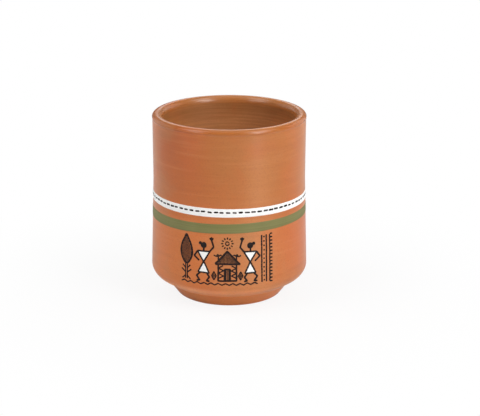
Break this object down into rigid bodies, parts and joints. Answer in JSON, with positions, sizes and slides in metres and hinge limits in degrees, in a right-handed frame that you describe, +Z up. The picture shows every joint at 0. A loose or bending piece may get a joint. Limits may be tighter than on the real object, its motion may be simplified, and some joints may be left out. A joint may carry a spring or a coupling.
{
  "type": "clay tea cup",
  "caption": "Handle-less red clay tea cup on a turned foot, with painted bands, a dashed stitch line and a painted frieze.",
  "frame": {"origin": "centre of the foot's resting face, on the cup's axis", "axes": "+Z up along the cup's axis, towards the lip; -Y faces the middle of the painted frieze"},
  "size_m": [0.0762, 0.0764, 0.0903],
  "materials": {
    "terracotta": "unglazed red earthenware, burnished outside, faint throwing rings inside",
    "white_paint": "matt white paint, brushed on",
    "green_paint": "matt olive green paint, brushed on",
    "black_paint": "matt black paint, drawn with a fine brush"
  },
  "bodies": {
    "root": {"cup_body": "terracotta", "white_band": "white_paint", "band_stitches": "black_paint", "green_band": "green_paint", "dancer_lines": "black_paint", "dancer_fills": "white_paint", "hut_lines": "black_paint", "tree_lines": "black_paint", "border_lines": "black_paint"}
  },
  "joints": []
}
